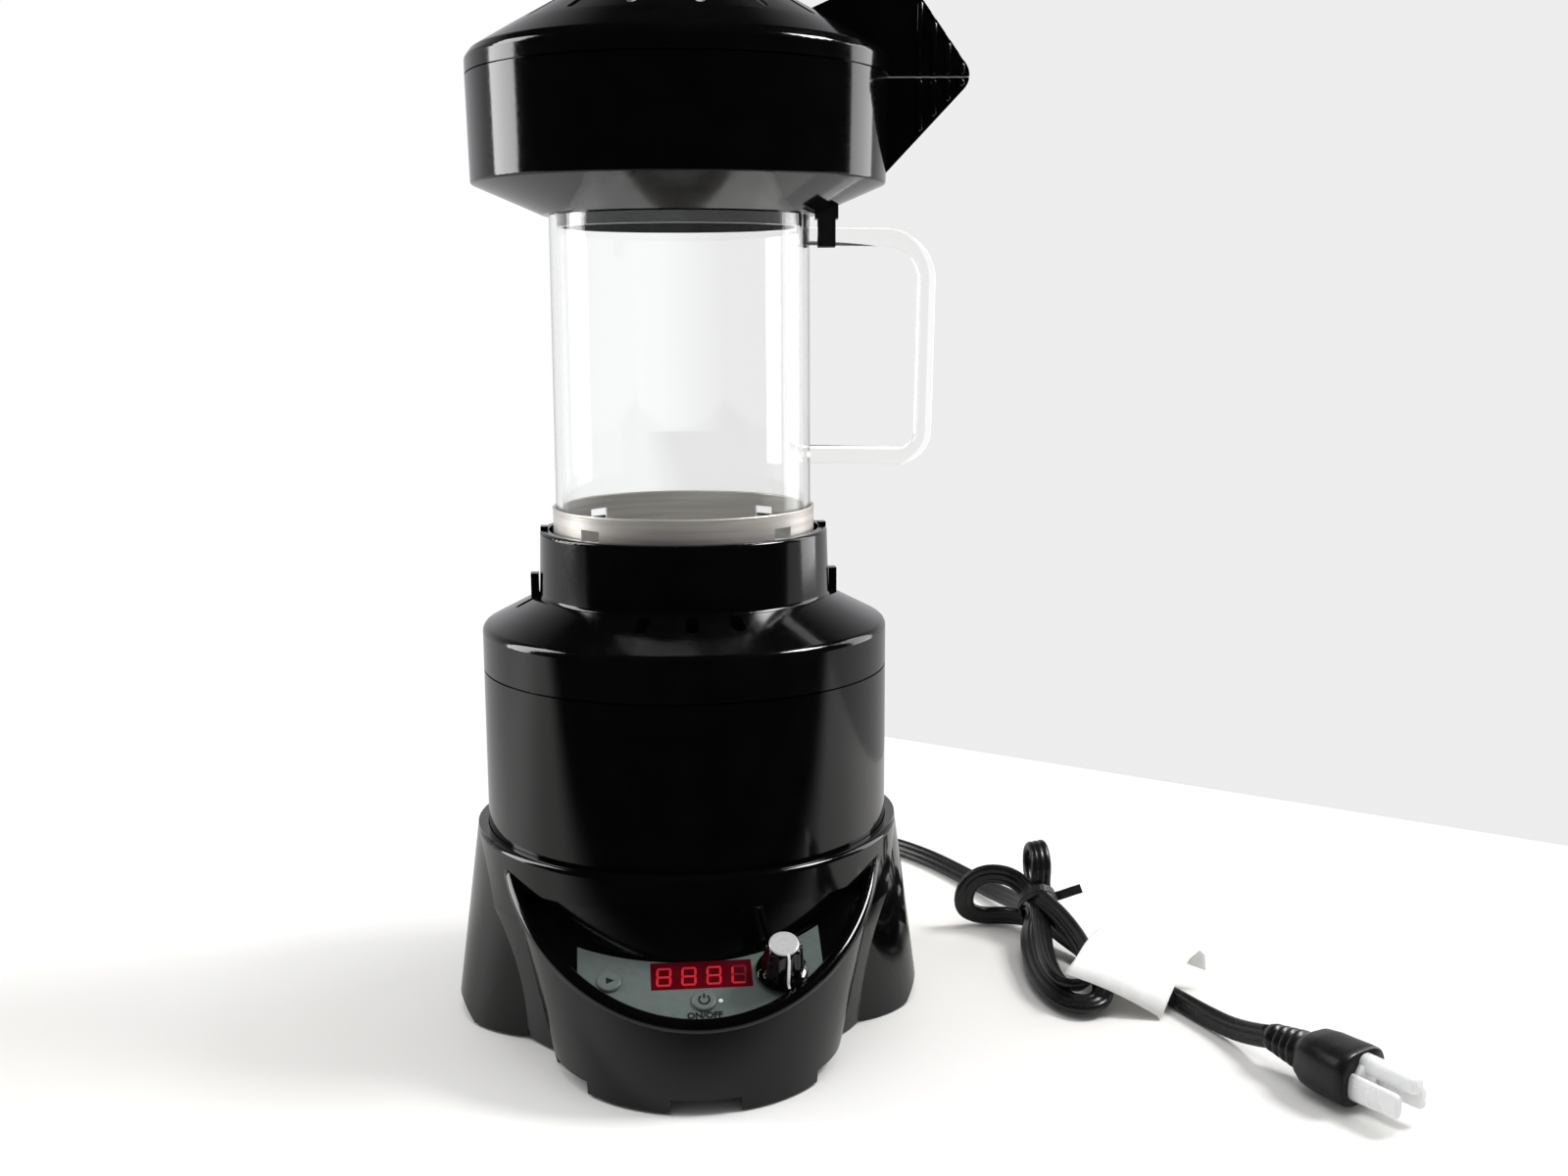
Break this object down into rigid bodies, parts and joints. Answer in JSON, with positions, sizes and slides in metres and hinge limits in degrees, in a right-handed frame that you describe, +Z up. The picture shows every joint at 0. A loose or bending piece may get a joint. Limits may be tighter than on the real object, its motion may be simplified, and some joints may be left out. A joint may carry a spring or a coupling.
{
  "type": "coffee bean roaster",
  "caption": "Countertop hot-air coffee bean roaster: round fan base with tilted control panel, glass chamber with a handle and a lift-off chaff collector with a slotted lid.",
  "frame": {"origin": "the roaster's own vertical axis, at the surface that its feet stand on", "axes": "+Z up along the roaster's axis, the control panel faces -Y, +X to the right of someone facing the panel"},
  "size_m": [0.3267, 0.3316, 0.3843],
  "materials": {
    "black_housing": "gloss",
    "black_cover": "gloss",
    "black_matte": "satin",
    "dark_rubber": "matte",
    "silicone": "matte",
    "clear_glass": "polished",
    "steel": "brushed",
    "bright_steel": "polished",
    "zinc_steel": "satin",
    "aluminium_disc": "spun",
    "overlay_grey": "satin",
    "display_red": "gloss",
    "display_body": "satin",
    "board_green": "satin",
    "mica": "satin",
    "heater_wire": "oxidised",
    "fan_white": "satin",
    "motor_steel": "zinc",
    "fuse_white": "matte",
    "cord_black": "satin",
    "plug_black": "satin",
    "brass_pins": "polished",
    "cover_clear": "frosted",
    "tag_white": "plain",
    "tie_black": "satin"
  },
  "bodies": {
    "base": {"control_housing": "black_housing", "rear_skirt": "black_housing", "main_housing": "black_housing", "shoulder_cover": "black_cover", "bottom_cover": "black_matte", "rubber_feet": "dark_rubber", "bottom_screws": "zinc_steel", "motor_mount": "black_matte", "motor_can": "motor_steel", "fan_housing": "black_matte", "heater_tube": "steel", "heater_frame": "mica", "heater_coil": "heater_wire", "thermal_fuse": "fuse_white", "power_board": "board_green", "control_board": "board_green", "display_module": "display_body", "display_window": "display_red", "encoder_body": "black_matte", "panel_overlay": "overlay_grey", "cord_gland": "plug_black", "cord_lead": "cord_black", "cord_hank": "cord_black", "cord_tail": "cord_black", "twist_tie": "tie_black", "cord_tag": "tag_white", "plug_body": "plug_black", "plug_blades": "brass_pins", "plug_ground_pin": "brass_pins", "prong_cover": "cover_clear"},
    "fan": {"motor_shaft": "zinc_steel", "impeller": "fan_white"},
    "knob_carrier": {"encoder_shaft": "zinc_steel"},
    "knob": {"knob_body": "black_matte", "knob_disc": "aluminium_disc"},
    "run_key": {"run_button": "overlay_grey"},
    "power_key": {"power_button": "overlay_grey"},
    "chamber": {"glass_chamber": "clear_glass", "chamber_ring": "steel", "chamber_screen": "bright_steel", "chamber_gasket": "silicone"},
    "collector": {"collector_bowl": "black_cover", "handle_fork": "black_matte"},
    "lid": {"collector_lid": "black_cover", "lid_mesh": "steel"}
  },
  "joints": [
    {"name": "fan_spin", "type": "hinge", "parent": "base", "child": "fan", "pos_m": [0, 0, 0.07], "axis": [0, 0, 1], "continuous": true},
    {"name": "knob_press", "type": "slide", "parent": "base", "child": "knob_carrier", "axis": [0, 0.5, -0.866], "range_m": [0, 0.0008], "stiffness_N_per_m": 400},
    {"name": "knob_turn", "type": "hinge", "parent": "knob_carrier", "child": "knob", "pos_m": [0.0276, -0.0867, 0.04433], "axis": [0, -0.5, 0.866], "continuous": true},
    {"name": "run_button_press", "type": "slide", "parent": "base", "child": "run_key", "axis": [0, 0.5, -0.866], "range_m": [0, 0.0006], "stiffness_N_per_m": 400},
    {"name": "power_button_press", "type": "slide", "parent": "base", "child": "power_key", "axis": [0, 0.5, -0.866], "range_m": [0, 0.0006], "stiffness_N_per_m": 400},
    {"name": "chamber_lift", "type": "slide", "parent": "base", "child": "chamber", "axis": [0, 0, 1], "range_m": [0, 0.06]},
    {"name": "collector_lift", "type": "slide", "parent": "chamber", "child": "collector", "axis": [0, 0, 1], "range_m": [0, 0.04]},
    {"name": "lid_lift", "type": "slide", "parent": "collector", "child": "lid", "axis": [0, 0, 1], "range_m": [0, 0.05]}
  ]
}
